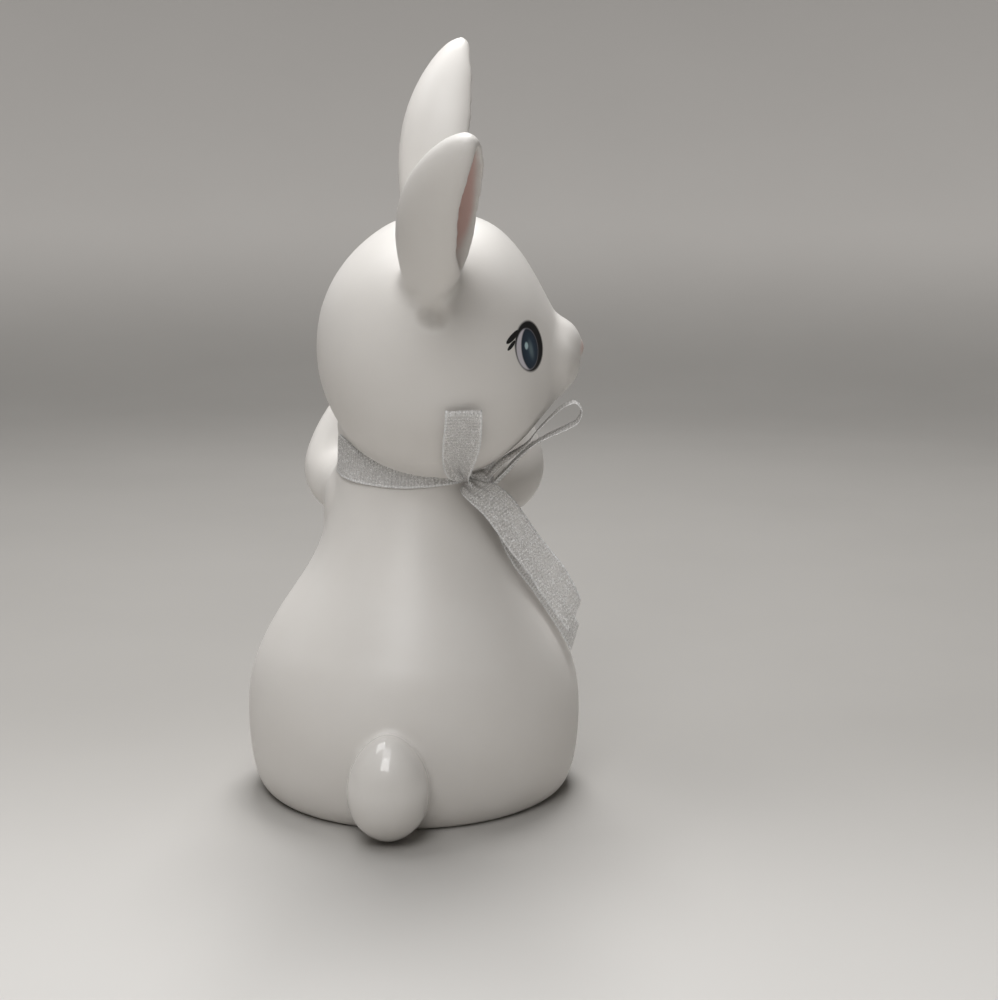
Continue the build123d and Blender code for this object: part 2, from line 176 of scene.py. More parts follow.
# marks of the roller in the paint, about 11 cm apart
grain = add(tree, "ShaderNodeTexNoise", {"Vector": place, "Scale": 9.0, "Detail": 5.0})
tone = add(tree, "ShaderNodeMix", {0: grain.outputs[0], 6: linear("#9d9a96"), 7: linear("#a4a19d")},
           data_type="RGBA").outputs[2]
away = add(tree, "ShaderNodeSeparateXYZ", {0: place})
# painted light: the table is painted paler towards the camera
painted_light_near_camera = add(tree, "ShaderNodeMapRange",
                  {0: away.outputs[1], 1: -0.08, 2: 0.18, 3: 0.0, 4: 0.42},
                  interpolation_type="SMOOTHSTEP").outputs[0]
tone = add(tree, "ShaderNodeMix", {0: painted_light_near_camera, 6: tone, 7: linear("#f0eeeb")},
           data_type="RGBA").outputs[2]
tree.links.new(tone, shader.inputs["Base Color"])
# painted light: the wall glows faintly, more up its bend, for camera rays alone
on_wall = add(tree, "ShaderNodeMapRange", {0: away.outputs[2], 1: 0.0, 2: 0.14, 3: 0.0, 4: 0.20},
              interpolation_type="SMOOTHSTEP").outputs[0]
seen_only = add(tree, "ShaderNodeLightPath").outputs["Is Camera Ray"]
glow = add(tree, "ShaderNodeMath", {0: on_wall, 1: seen_only}, operation="MULTIPLY").outputs[0]
tree.links.new(glow, shader.inputs["Emission Strength"])
shader.inputs["Emission Color"].default_value = linear("#fffaf5")
shader.inputs["Roughness"].default_value = 0.7
table.data.materials.append(material)
print("table and wall have", len(table.data.polygons), "faces")

# %% World
world = bpy.data.worlds.new("room")
scene.world = world
world.use_nodes = True
world.node_tree.nodes["Background"].inputs[0].default_value = linear("#e9e8e6")
world.node_tree.nodes["Background"].inputs[1].default_value = 0.05
print("world:", world.name)


# %% Lamps
def soft_lamp(name, place, aim, size, power):
    """Square lamp of a size in metres at a place, aimed at a point."""
    data = bpy.data.lights.new(name, "AREA")
    data.size, data.energy = size, power
    lamp = bpy.data.objects.new(name, data)
    lamp.location = place
    lamp.rotation_euler = (Vector(aim) - Vector(place)).to_track_quat("-Z", "Y").to_euler()
    scene.collection.objects.link(lamp)


FIGURE_MIDDLE = (0, 0, 0.1)
for name, lamp_place, size, power in (          # place and size in metres, power in watts
    ("ceiling_lamp", (0.0, -0.46, 1.10), 0.50, 12.0),
    ("near_lamp_right", (0.0, 0.21, 0.55), 0.25, 0.45),
    ("near_lamp_left", (0.21, 0.0, 0.55), 0.25, 0.68),
    ("room_lamp", (0.05, 0.80, 0.95), 0.50, 3.8),
):
    soft_lamp(name, lamp_place, FIGURE_MIDDLE, size, power)

# %% [markdown]
# ## Joining the castings
#
# A slip joint leaves no step: the potter wipes slip into the crease, so arms and ears flow
# into the figure in a soft hollow. Separate meshes pushed into each other would show a hard
# crease. Instead copies of the CAD castings are joined, and a voxel remesh gives them one
# even skin. The skin is relaxed near each joint, more at an arm than at the tail, and is cut
# apart again along the joints, so that each casting stays a closed piece of its own. A pad of
# slip fills the left shoulder, and a blind sleeve turns the vent into a plain hole. The skin
# also lines the hollow inside, which it enters by a slit between neck and head at the front.

# %% Copies of the castings
CASTINGS = ("body", "head", "ear_left", "ear_right", "arm_left", "arm_right",
            "hind_foot_left", "hind_foot_right", "tail")
SKIN_STEP = 0.7 * MM
VENT_RADIUS, VENT_FRONT, VENT_DEPTH, VENT_WALL = 1.75 * MM, 15 * MM, 9 * MM, 3 * MM
SHOULDER_PAD_MM, SHOULDER_PAD_HALF_MM = (18.0, -8.0, 75.5), (7.4, 12.0, 14.0)


def merged_mesh(names):
    """Editable mesh of copies of these CAD nodes, with their loose triangles welded."""
    welded = bmesh.new()
    for name in names:
        welded.from_mesh(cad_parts[name].data)
    bmesh.ops.remove_doubles(welded, verts=welded.verts, dist=SKIN_STEP / 500)
    return welded


def turned_profile(target, profile, middle, count=24):
    """Adds the closed shape that a profile of (radius, height) makes, turned round a line."""
    rings = []
    for radius, height in profile:
        if radius == 0:
            rings.append([target.verts.new(middle + Vector((0, 0, height)))])
            continue
        ring = []
        for i in range(count):
            turn = 2 * math.pi * i / count
            ring.append(target.verts.new(
                middle + Vector((radius * math.cos(turn), radius * math.sin(turn), height))))
        rings.append(ring)
    for low, high in zip(rings, rings[1:]):
        for i in range(count):
            j = (i + 1) % count
            corners = (low[i % len(low)], low[j % len(low)],
                       high[j % len(high)], high[i % len(high)])
            target.faces.new(list(dict.fromkeys(corners)))


print("castings to join:", len(CASTINGS))

# %% Join the castings into a skin
castings = merged_mesh(CASTINGS)
pad = bmesh.ops.create_uvsphere(castings, u_segments=32, v_segments=16, radius=MM)["verts"]
bmesh.ops.scale(castings, vec=SHOULDER_PAD_HALF_MM, verts=pad)
bmesh.ops.translate(castings, vec=Vector(SHOULDER_PAD_MM) * MM, verts=pad)
sleeve = [(0, VENT_DEPTH + VENT_WALL), (VENT_RADIUS + VENT_WALL, VENT_DEPTH + VENT_WALL),
          (VENT_RADIUS + VENT_WALL, VENT_WALL / 3), (VENT_RADIUS, VENT_WALL / 3),
          (VENT_RADIUS, VENT_DEPTH), (0, VENT_DEPTH)]
turned_profile(castings, sleeve, Vector((0, -VENT_FRONT, 0)))
skin_mesh = bpy.data.meshes.new("skin")
castings.to_mesh(skin_mesh)
castings.free()
skin = bpy.data.objects.new("skin", skin_mesh)
scene.collection.objects.link(skin)
remesh = skin.modifiers.new("remesh", "REMESH")
remesh.mode, remesh.voxel_size = "VOXEL", SKIN_STEP
evaluated = skin.evaluated_get(bpy.context.evaluated_depsgraph_get())
skin_mesh = bpy.data.meshes.new_from_object(evaluated)
bpy.data.objects.remove(skin)
print("skin has", len(skin_mesh.vertices), "points")


# %% Keep the largest skin
def largest_island(mesh):
    """Faces of the largest connected piece of a mesh, as vertex positions and corners."""
    count = len(mesh.vertices)
    points = np.empty(count * 3)
    mesh.vertices.foreach_get("co", points)
    points = points.reshape(-1, 3)
    edges = np.empty(len(mesh.edges) * 2, int)
    mesh.edges.foreach_get("vertices", edges)
    edges = edges.reshape(-1, 2)
    island = np.arange(count)
    while True:
        lowest = np.minimum(island[edges[:, 0]], island[edges[:, 1]])
        joined = island.copy()
        np.minimum.at(joined, edges[:, 0], lowest)
        np.minimum.at(joined, edges[:, 1], lowest)
        joined = joined[joined]
        if (joined == island).all():
            break
        island = joined
    kept = island == np.bincount(island).argmax()
    number = np.cumsum(kept) - 1
    faces = []
    for polygon in mesh.polygons:
        corners = list(polygon.vertices)
        if kept[corners[0]]:
            faces.append([int(number[c]) for c in corners])
    return points[kept], faces


points, faces = largest_island(skin_mesh)
bpy.data.meshes.remove(skin_mesh)
print("largest skin has", len(points), "points and", len(faces), "faces")


# %% Name each face for the casting that it lies on
def casting_trees():
    """For each casting, a search tree over its own skin."""
    trees = {}
    for name in CASTINGS:
        welded = merged_mesh([name])
        trees[name] = BVHTree.FromBMesh(welded)
        welded.free()
    return trees


def name_faces(points, faces, trees):
    """Number of the nearest casting for each face; a face near none is the body's."""
    middles = np.array([points[corners].mean(0) for corners in faces])
    nearest = np.full(len(faces), np.inf)
    owner = np.zeros(len(faces), int)
    reach = 2 * MM
    for number, name in enumerate(CASTINGS):
        low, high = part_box(name)
        near = ((middles > np.array(low) - reach) & (middles < np.array(high) + reach)).all(1)
        for i in np.flatnonzero(near):
            found = trees[name].find_nearest(Vector(middles[i]), reach)
            if found[0] is not None and found[3] < nearest[i]:
                nearest[i], owner[i] = found[3], number
    return owner


trees = casting_trees()
owner = name_faces(points, faces, trees)
print({name: int((owner == i).sum()) for i, name in enumerate(CASTINGS)})


# %% Neighbours, joint lines and relaxing
def neighbour_table(faces):
    """Edges of the faces as pairs of points, each once, and the faces on their two sides."""
    sides = {}
    for i, corners in enumerate(faces):
        for a, b in zip(corners, corners[1:] + corners[:1]):
            sides.setdefault((min(a, b), max(a, b)), []).append(i)
    edges = np.array(list(sides))
    pairs = np.array([s if len(s) == 2 else (s[0], s[0]) for s in sides.values()])
    return edges, pairs


def settle_owners(owner, pairs, rounds):
    """Gives a face that stands out among its neighbours to the casting that they lie on."""
    for _ in range(rounds):
        votes = np.zeros((len(owner), len(CASTINGS)))
        np.add.at(votes, (pairs[:, 0], owner[pairs[:, 1]]), 1)
        np.add.at(votes, (pairs[:, 1], owner[pairs[:, 0]]), 1)
        best = votes.argmax(1)
        turned = votes[np.arange(len(owner)), best] >= 3
        owner = np.where(turned, best, owner)
    return owner


def relax(points, edges, share, times):
    """Moves rows of numbers at the points towards their neighbours', by a share each time."""
    count = len(points)
    here, there = np.concatenate([edges, edges[:, ::-1]]).T
    degree = np.bincount(here, minlength=count)
    for _ in range(times):
        columns = [np.bincount(here, column[there], count) for column in points.T]
        middle = np.stack(columns, 1)
        middle /= degree[:, None]
        points = points + (share[:, None] * 0.5) * (middle - points)
    return points


edges, pairs = neighbour_table(faces)
owner = settle_owners(owner, pairs, rounds=6)
print("the skin has", len(edges), "edges")

# %% [markdown]
# Each joint is named for the smaller of its two castings. How far the slip was wiped, in
# millimetres, is what sets how soft the joint looks.

# %% Wipe the joints
FIRST_PASSES = 4                       # over the whole skin, to take out the voxel steps
WIPED = {                              # reach in millimetres and passes
    "ear": (2.0, 34),
    "arm": (6.0, 200),
    "hind": (2.6, 50),
    "tail": (0.9, 14),
    "neck": (1.4, 20),
}


def joint_name(a, b):
    """Name of the joint between two castings."""
    for name in (CASTINGS[a], CASTINGS[b]):
        kind = name.split("_")[0]
        if kind in WIPED:
            return kind
    return "neck"


def joint_points(edges, pairs, owner):
    """For each kind of joint, the points on its line."""
    lines = {}
    differs = np.flatnonzero(owner[pairs[:, 0]] != owner[pairs[:, 1]])
    for i in differs:
        kind = joint_name(owner[pairs[i, 0]], owner[pairs[i, 1]])
        lines.setdefault(kind, set()).update(int(p) for p in edges[i])
    return lines


def nearness(points, line, reach):
    """1 on a joint's line, falling to 0 at a reach from it."""
    finder = KDTree(len(line))
    for number, p in enumerate(line):
        finder.insert(points[p], number)
    finder.balance()
    line_points = points[list(line)]
    low, high = line_points.min(0) - 3 * reach, line_points.max(0) + 3 * reach
    close = ((points > low) & (points < high)).all(1)
    share = np.zeros(len(points))
    for i in np.flatnonzero(close):
        share[i] = math.exp(-(finder.find(points[i])[2] / reach) ** 2)
    return share


points = relax(points, edges, np.ones(len(points)), FIRST_PASSES)
for kind, line in joint_points(edges, pairs, owner).items():
    reach, times = WIPED[kind]
    points = relax(points, edges, nearness(points, line, reach * MM), times)
    print("wiped the", kind, "joints:", len(line), "points")

# %% [markdown]
# ## Face, ears and toes
#
# The face is pressed into the plaster mould, so its features are shallow and soft. Each is
# one press with a rounded tool: a middle, a radius and a push. Working in the head's own
# frame, with its left side folded onto its right, makes both halves alike. Sculpting by hand
# would give the same shapes, but not the same shapes again after the CAD model changes.

# %% A press with a rounded tool
HEAD_MIDDLE = Vector((-6.3, 2.5, 121.6)) * MM
HEAD_TILT = Euler((math.radians(17), 0, math.radians(-173)))
to_head = (Matrix.Translation(HEAD_MIDDLE) @ HEAD_TILT.to_matrix().to_4x4()).inverted()


def press(local, middle, radius, push):
    """Moves the points near a middle by a push that fades out at a radius, all in millimetres."""
    away = np.linalg.norm(local - np.array(middle), axis=1) / radius
    share = np.clip(1 - away ** 2, 0, None) ** 2
    return local + share[:, None] * np.array(push)


def in_frame(points, matrix):
    """Points in another frame."""
    turned = np.array(matrix.to_3x3())
    return points @ turned.T + np.array(matrix.translation)


def own_points(name):
    """Which points lie on a casting."""
    number = CASTINGS.index(name)
    chosen = np.zeros(len(points), bool)
    for corners, i in zip(faces, owner):
        if i == number:
            chosen[corners] = True
    return chosen


print("the head's middle lies at", [round(c, 4) for c in HEAD_MIDDLE])

# %% Press the features into the head
FACE_PRESSES = (                       # middle, radius and push in the head's frame
    ((25.4, -20.5, 6.0), 10.0, (-0.20, 0.45, 0.0)),      # eye socket
    ((21.0, -24.0, -9.0), 13.0, (0.10, -0.50, -0.10)),   # cheek
    ((0.2, -27.9, 17.4), 4.8, (0.0, 2.60, -1.40)),       # hollow under the ear
    ((33.5, -9.0, -1.0), 8.0, (0.35, -0.75, 0.25)),      # side of the muzzle
    ((36.4, 0.0, 2.2), 7.5, (1.20, 0.0, 0.55)),          # bridge of the nose
    ((30.0, -12.5, -9.0), 6.0, (-0.20, 0.45, 0.10)),     # hollow behind the whisker pad
    ((38.8, 0.0, -2.4), 3.4, (0.75, 0.0, 0.10)),         # nose
    ((37.2, -2.1, -4.4), 1.9, (-0.70, 0.25, 0.0)),       # nostril
    ((36.6, -3.8, -8.2), 4.8, (0.35, -0.60, 0.10)),      # whisker pad
    ((37.6, 0.0, -7.2), 1.8, (-1.00, 0.0, 0.0)),         # groove under the nose
    ((37.0, 0.0, -9.2), 1.8, (-1.10, 0.0, 0.0)),
    ((35.8, 0.0, -11.4), 1.9, (-1.10, 0.0, 0.20)),
    ((35.0, -1.5, -12.6), 1.8, (-1.10, 0.0, 0.50)),      # mouth
    ((34.2, -3.1, -13.2), 1.8, (-1.05, 0.0, 0.50)),
    ((33.0, -4.7, -13.0), 1.8, (-0.95, 0.1, 0.45)),
    ((31.6, -6.2, -12.2), 1.8, (-0.65, 0.2, 0.35)),
    ((32.4, 0.0, -15.8), 3.6, (0.25, 0.0, -0.10)),       # lower lip
)

on_head = own_points("head")
local = in_frame(points[on_head], to_head) / MM
side = np.where(local[:, 1] > 0, -1.0, 1.0)
local[:, 1] *= side
for middle, radius, push in FACE_PRESSES:
    local = press(local, middle, radius, push)
local[:, 1] *= side
points[on_head] = in_frame(local * MM, to_head.inverted())
print("pressed", len(FACE_PRESSES), "features into the head")

# %% [markdown]
# The rims of the ears are finished with a damp sponge, which rounds them and turns the outer
# rim back a little. Relaxing the skin there does the same. The neck is pressed in where the
# band is tied tight under the left cheek, and a blunt blade parts the toes.

# %% Shape the ears
EAR_ROOT_MM, EAR_ROOT_TURN, EAR_SPREAD, EAR_LEAN, EAR_LONG = 31, 42, 34, 9.3, 55
EAR_TWIST = {1: 6, -1: 18}             # left and right
OUTER_RIM_BACK, INNER_RIM_FORWARD = 0.6, 1.2     # in millimetres, where the ear is widest
WIDEST, WIDE_REACH = 0.66, 0.22        # shares of the ear's length
SPONGE_PASSES = 34


def ear_frame(side):
    """Frame of an ear: X out of its opening, Y across and Z to its tip."""
    root = math.radians(EAR_ROOT_TURN)
    upwards = Vector((0, side * math.sin(root), math.cos(root)))
    turn = Matrix.Rotation(math.radians(-side * EAR_SPREAD), 4, "X")
    turn = turn @ Matrix.Rotation(math.radians(EAR_LEAN), 4, "Y")
    turn = turn @ Matrix.Rotation(math.radians(side * EAR_TWIST[side]), 4, "Z")
    return to_head.inverted() @ Matrix.Translation(upwards * EAR_ROOT_MM * MM) @ turn


on_ears = np.zeros(len(points))
for side, name in ((1, "ear_left"), (-1, "ear_right")):
    chosen = own_points(name)
    on_ears[chosen] = 1
    local = in_frame(points[chosen], ear_frame(side).inverted()) / MM
    wide_part = np.exp(-((local[:, 2] / EAR_LONG - WIDEST) / WIDE_REACH) ** 2)
    at_front = np.clip((local[:, 0] + 2) / 4, 0, 1)
    outer = np.clip(side * local[:, 1] / 6, 0, 1) * at_front
    inner = np.clip(-side * local[:, 1] / 6, 0, 1) * at_front
    local[:, 0] += wide_part * (INNER_RIM_FORWARD * inner - OUTER_RIM_BACK * outer)
    points[chosen] = in_frame(local * MM, ear_frame(side))
points = relax(points, edges, on_ears, SPONGE_PASSES)
print("sponged", int(on_ears.sum()), "points of the ears")

# %% Draw in the neck under the left cheek
NECK_PRESS_MM = ((21.0, -8.0, 92.5), 10.0, (-1.7, 0.0, 0.0))     # middle, radius and push
on_body = own_points("body")
points[on_body] = press(points[on_body] / MM, *NECK_PRESS_MM) * MM
print("drew the neck in over", int(on_body.sum()), "points of the body")

# %% Part the toes
TOE_GROOVES_X = (19.4, 26.0)           # between the toes of the left foot
TOE_LINE = (                           # towards the tail and up, along a groove
    (-51.2, 2.5), (-51.6, 4.5), (-51.0, 6.5), (-49.8, 8.5), (-48.0, 10.3), (-45.8, 11.6),
)
TOE_RADIUS, TOE_PUSH = 2.8, (0.0, 0.62, -0.18)
on_feet = own_points("hind_foot_left") | own_points("hind_foot_right")
local = points[on_feet] / MM
side = np.sign(local[:, 0])
local[:, 0] *= side
for groove in TOE_GROOVES_X:
    for towards, up in TOE_LINE:
        local = press(local, (groove, towards, up), TOE_RADIUS, TOE_PUSH)
local[:, 0] *= side
points[on_feet] = local * MM
points = relax(points, edges, np.ones(len(points)), 1)
points[:, 2] = np.maximum(points[:, 2], 0)
print("parted the toes with", len(TOE_GROOVES_X), "grooves on each foot")

# %% [markdown]
# ## Bisque, airbrushed pink and painted eyes
#
# Bisque porcelain is fired clay without glaze, rubbed smooth: white, with a satin sheen and
# the faintest mottling. The insides of the ears and the nose are airbrushed in pink, which
# has no edge, and the eyes are painted with a brush, which has one. The brushwork is drawn in
# the shader, in the head's own frame in millimetres, so it stays sharp at any size. The pink
# follows the hollow of the ears and the tip of the nose, which only the mesh knows, so it is
# kept there as an attribute.

# %% Brushwork
EYE_MIDDLE = (25.4, -21.5, 6.2)        # on the right half of the face, in the head's frame
EYE_HALF = (5.75, 6.15)                # half its width and height in millimetres
EYE_TURN = math.radians(48)            # from straight ahead to the way that the eye faces
EYE_ROLL = math.radians(4.5)           # by which its top leans towards the nose


def painted_oval(tree, place, middle, half, turn=0, edge=0.06):
    """1 inside an oval of given half width and height in millimetres, 0 outside."""
    spread = add(tree, "ShaderNodeMapping",
                 {0: place, 1: (*middle, 0), 2: (0, 0, math.radians(turn)), 3: (*half, 1000)},
                 vector_type="TEXTURE")
    away = add(tree, "ShaderNodeVectorMath", {0: spread.outputs[0]}, operation="LENGTH")
    return add(tree, "ShaderNodeMapRange",
               {0: away.outputs[1], 1: 1 + edge, 2: 1 - edge, 3: 0.0, 4: 1.0},
               interpolation_type="SMOOTHSTEP").outputs[0]


def eye_masks(tree, eye_mm):
    """Where each paint of an eye goes, from the first coat to the last."""
    dark = painted_oval(tree, eye_mm, (0.0, 0.0), EYE_HALF)
    for middle, half, turn in (((-5.8, 3.4), (2.7, 0.72), 26), ((-6.7, 1.5), (1.8, 0.50), 32)):
        lash = painted_oval(tree, eye_mm, middle, half, turn)
        dark = add(tree, "ShaderNodeMath", {0: dark, 1: lash}, operation="MAXIMUM").outputs[0]
    opening = painted_oval(tree, eye_mm, (-0.95, -0.50), (4.35, 4.95))
    iris = painted_oval(tree, eye_mm, (1.10, -0.70), (4.60, 5.60))
    iris = add(tree, "ShaderNodeMath", {0: iris, 1: opening}, operation="MULTIPLY").outputs[0]
    bloom = painted_oval(tree, eye_mm, (0.10, -0.60), (2.9, 4.2), edge=0.9)
    bloom = add(tree, "ShaderNodeMath", {0: bloom, 1: iris}, operation="MULTIPLY").outputs[0]
    streak = painted_oval(tree, eye_mm, (0.35, -0.80), (0.8, 1.9), turn=6, edge=0.8)
    # painted highlight: the glint is a highlight painted into each eye
    glint = painted_oval(tree, eye_mm, (-1.30, 0.40), (0.68, 0.85), turn=-8, edge=0.35)
    return (("#0d0b0d", dark), ("#cfcbd2", opening), ("#0c1422", iris),
            ("#283c4e", bloom), ("#62737a", streak), ("#b4ccd1", glint))


def eye_paint(tree, head_mm, colour):
    """Paints both eyes over a colour."""
    forward = Vector((math.cos(EYE_TURN), math.sin(EYE_TURN), 0))
    outward = Vector((math.sin(EYE_TURN), -math.cos(EYE_TURN), 0))
    upward = Vector((0, 0, 1)) * math.cos(EYE_ROLL) + forward * math.sin(EYE_ROLL)
    facing = Matrix((upward.cross(outward), upward, outward)).transposed()
    eye_mm = add(tree, "ShaderNodeMapping", {0: head_mm, 1: EYE_MIDDLE, 2: facing.to_euler()},
                 vector_type="TEXTURE").outputs[0]
    for paint, mask in eye_masks(tree, eye_mm):
        colour = add(tree, "ShaderNodeMix", {0: mask, 6: colour, 7: linear(paint)},
                     data_type="RGBA").outputs[2]
    return colour


print("an eye is", 2 * EYE_HALF[0], "mm wide and", 2 * EYE_HALF[1], "mm high")

# %% Bisque finish
BISQUE_WHITE, BISQUE_SHADE, AIRBRUSH_PINK = "#e6e3df", "#e1ddd8", "#e0c0b8"
MOTTLE_MM, GRIT_MM = 14, 0.5


def bisque(name, painted_face=False):
    """Satin white bisque with pink where the airbrush went and, on the head, the painted face."""
    material, tree, shader = new_finish(name)
    place = add(tree, "ShaderNodeTexCoord").outputs["Object"]
    mottle = add(tree, "ShaderNodeTexNoise",
                 {"Vector": place, "Scale": 1 / (MOTTLE_MM * MM), "Detail": 3.0})
    colour = add(tree, "ShaderNodeMix",
                 {0: mottle.outputs[0], 6: linear(BISQUE_WHITE), 7: linear(BISQUE_SHADE)},
                 data_type="RGBA").outputs[2]
    pink = add(tree, "ShaderNodeAttribute", attribute_name="pink").outputs["Fac"]
    colour = add(tree, "ShaderNodeMix", {0: pink, 6: colour, 7: linear(AIRBRUSH_PINK)},
                 data_type="RGBA").outputs[2]
    if painted_face:
        head_mm = add(tree, "ShaderNodeMapping",
                      {0: place, 1: HEAD_MIDDLE, 2: HEAD_TILT, 3: (MM, MM, MM)},
                      vector_type="TEXTURE").outputs[0]
        along = add(tree, "ShaderNodeSeparateXYZ", {0: head_mm})
        folded = add(tree, "ShaderNodeMath", {0: along.outputs[1]}, operation="ABSOLUTE")
        folded = add(tree, "ShaderNodeMath", {0: folded.outputs[0], 1: -1.0},
                     operation="MULTIPLY")
        half_face = add(tree, "ShaderNodeCombineXYZ",
                        {0: along.outputs[0], 1: folded.outputs[0], 2: along.outputs[2]})
        colour = eye_paint(tree, half_face.outputs[0], colour)
    tree.links.new(colour, shader.inputs["Base Color"])
    # the clay's own grit, rubbed down but not glazed over, gives the satin sheen
    grit = add(tree, "ShaderNodeTexNoise",
               {"Vector": place, "Scale": 1 / (GRIT_MM * MM), "Detail": 2.0})
    bump = add(tree, "ShaderNodeBump",
               {"Height": grit.outputs[0], "Distance": 0.02 * MM, "Strength": 0.5})
    tree.links.new(bump.outputs[0], shader.inputs["Normal"])
    shader.inputs["Roughness"].default_value = 0.42
    shader.inputs["IOR"].default_value = 1.48
    return material, tree, shader


plain_bisque = bisque("bisque_porcelain")[0]
face_bisque = bisque("bisque_porcelain_painted_face", True)[0]
glazed, tree, shader = bisque("glazed_porcelain")      # the same clay under a coat of glass
shader.inputs["Coat Weight"].default_value = 1.0
shader.inputs["Coat Roughness"].default_value = 0.04
print("finishes:", plain_bisque.name, face_bisque.name, glazed.name)

# %% Where the airbrush goes
OPENING_MM = 6.5                       # middle of an ear's opening, in front of its axis
RIM_PLACES, RIM_MM = (0.2, 0.4, 0.6, 0.8, 0.95), (5.2, 5.0, 3.6, 2.4, 1.2)
NOSE_MIDDLE, NOSE_HALF = (38.8, 0.0, -2.0), (3.0, 2.3, 1.6)
EAR_PINK, NOSE_PINK = 0.9, 0.75        # strongest pink


def skin_normals(points, faces):
    """Shading normals of the whole skin at each point."""
    mesh = bpy.data.meshes.new("whole_skin")
    mesh.from_pydata(points.tolist(), [], faces)
    mesh.update()
    normals = np.empty(len(points) * 3)
    mesh.vertex_normals.foreach_get("vector", normals)
    bpy.data.meshes.remove(mesh)
    return normals.reshape(-1, 3)


print("an ear is", EAR_LONG, "mm long")

# %% Airbrush the ears and the nose
normals = skin_normals(points, faces)
pink = np.zeros(len(points))
for side, name in ((1, "ear_left"), (-1, "ear_right")):
    chosen = own_points(name)
    to_ear = ear_frame(side).inverted()
    local = in_frame(points[chosen], to_ear) / MM
    facing = normals[chosen] @ np.array(to_ear.to_3x3()).T
    to_opening = np.stack([OPENING_MM - local[:, 0], -local[:, 1], np.zeros(len(local))], 1)
    to_opening /= np.linalg.norm(to_opening, axis=1)[:, None]
    place = local[:, 2] / EAR_LONG
    along = np.clip((place - 0.16) / 0.16, 0, 1) * np.clip((0.985 - place) / 0.08, 0, 1)
    below_rim = np.clip((np.interp(place, RIM_PLACES, RIM_MM) - local[:, 0] - 0.2) / 1.4, 0, 1)
    pink[chosen] = np.clip(2 * (facing * to_opening).sum(1), 0, 1) * along * below_rim
pink = relax(pink[:, None], edges, np.ones(len(points)), 6)[:, 0]      # the spray has no edge
pink = EAR_PINK * np.clip((pink - 0.15) / 0.6, 0, 1)
to_nose = (in_frame(points[on_head], to_head) / MM - NOSE_MIDDLE) / NOSE_HALF
on_nose = np.clip(1.6 - np.linalg.norm(to_nose, axis=1), 0, 1)
pink[on_head] = np.maximum(pink[on_head], NOSE_PINK * on_nose)
print("airbrushed", int((pink > 0.3).sum()), "points pink")


# %% [markdown]
# ## Cutting the skin into castings
#
# Each casting takes its own faces and is closed inside the joint with a fan of faces that
# nobody sees. Both sides of a joint keep the shading of the whole skin, so it doesn't show.
# The body has more triangles than the most that a casting keeps. Thinning it only away from its
# joints leaves the joint lines as they are, so no gap opens between two castings.

# %% Closed castings
def closed_casting(name, number):
    """Mesh of one casting's faces, closed inside each joint."""
    own = [corners for corners, i in zip(faces, owner) if i == number]
    used = sorted({c for corners in own for c in corners})
    renumber = {c: i for i, c in enumerate(used)}
    shell = bmesh.new()
    layer = shell.verts.layers.int.new("skin_point")
    verts = [shell.verts.new(points[c]) for c in used]
    for vert, c in zip(verts, used):
        vert[layer] = c + 1
    for corners in own:
        shell.faces.new([verts[renumber[c]] for c in corners])
    open_edges = [e for e in shell.edges if e.is_boundary]
    loops = bmesh.ops.holes_fill(shell, edges=open_edges, sides=0)["faces"]
    bmesh.ops.poke(shell, faces=loops)
    mesh = bpy.data.meshes.new(name)
    shell.to_mesh(mesh)
    sources = [v[layer] - 1 for v in shell.verts]
    shell.free()
    return mesh, sources


print("faces of each casting:", np.bincount(owner).tolist())

# %% Thin a casting away from its joints
MOST_TRIANGLES = 190_000
KEEP_NEAR = 3 * MM
joint_lines = set().union(*joint_points(edges, pairs, owner).values())
joints = KDTree(len(joint_lines))
for p in joint_lines:
    joints.insert(points[p], p)
joints.balance()


def thinned(mesh, sources):
    """A mesh with too many faces gets fewer of them away from its joints."""
    triangles = sum(len(face.vertices) - 2 for face in mesh.polygons)
    if triangles <= MOST_TRIANGLES:
        return mesh, sources
    piece = bpy.data.objects.new("thinning", mesh)
    scene.collection.objects.link(piece)
    far = [i for i, s in enumerate(sources) if s >= 0 and joints.find(points[s])[2] > KEEP_NEAR]
    away = piece.vertex_groups.new(name="away_from_joints")
    away.add(far, 1.0, "REPLACE")
    thin = piece.modifiers.new("thin", "DECIMATE")
    thin.ratio, thin.vertex_group = MOST_TRIANGLES / triangles, away.name
    evaluated = piece.evaluated_get(bpy.context.evaluated_depsgraph_get())
    fewer = bpy.data.meshes.new_from_object(evaluated)
    bpy.data.objects.remove(piece)
    skin_finder = KDTree(len(sources))
    for s in sources:
        if s >= 0:
            skin_finder.insert(points[s], s)
    skin_finder.balance()
    found = [skin_finder.find(v.co)[1:] for v in fewer.vertices]
    left = sum(len(face.vertices) - 2 for face in fewer.polygons)
    print("thinned", mesh.name, "from", triangles, "to", left, "triangles")
    return fewer, [s if distance < MM / 1000 else -1 for s, distance in found]


# %% Make each casting a finished piece
for number, node in enumerate(CASTINGS):
    mesh, sources = thinned(*closed_casting(node + "_casting", number))
    mesh.shade_smooth()
    shading = mesh.attributes.new("pink", "FLOAT", "POINT")
    shading.data.foreach_set("value", [float(pink[s]) if s >= 0 else 0.0 for s in sources])
    mesh.normals_split_custom_set_from_vertices(
        [tuple(normals[s]) if s >= 0 else (0.0, 0.0, 0.0) for s in sources])
    piece = bpy.data.objects.new(node + "_casting", mesh)
    scene.collection.objects.link(piece)
    finish = {"head": face_bisque, "tail": glazed}.get(node, plain_bisque)
    mesh.materials.append(finish)
    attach(piece, "root")
    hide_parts(node)
    print(piece.name, "has", len(mesh.polygons), "faces")

